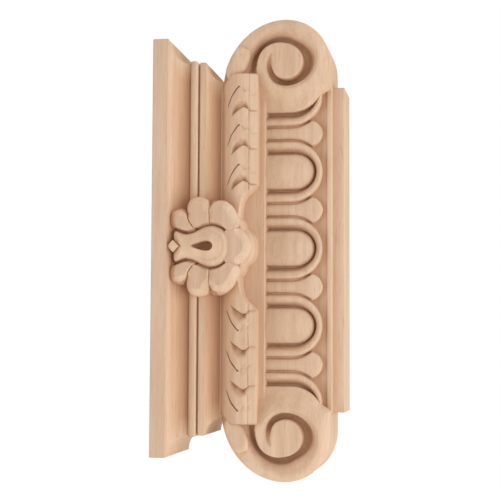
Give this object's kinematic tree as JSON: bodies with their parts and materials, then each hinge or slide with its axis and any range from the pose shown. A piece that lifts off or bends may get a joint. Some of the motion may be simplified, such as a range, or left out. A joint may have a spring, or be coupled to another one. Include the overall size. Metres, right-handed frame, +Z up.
{
  "type": "pilaster capital",
  "caption": "Flat-backed carved wood capital with volutes at both ends, egg and dart below a leaf garland and a moulded abacus, fixed to a wall on top of a pilaster.",
  "frame": {"origin": "middle of the flat back", "axes": "+X along the front, +Y into the wall, +Z up, so the carved front looks along -Y"},
  "size_m": [0.3048, 0.0727, 0.122],
  "materials": {
    "wood": "bare, finely sanded, unpainted"
  },
  "bodies": {
    "root": {"capital": "wood"}
  },
  "joints": []
}
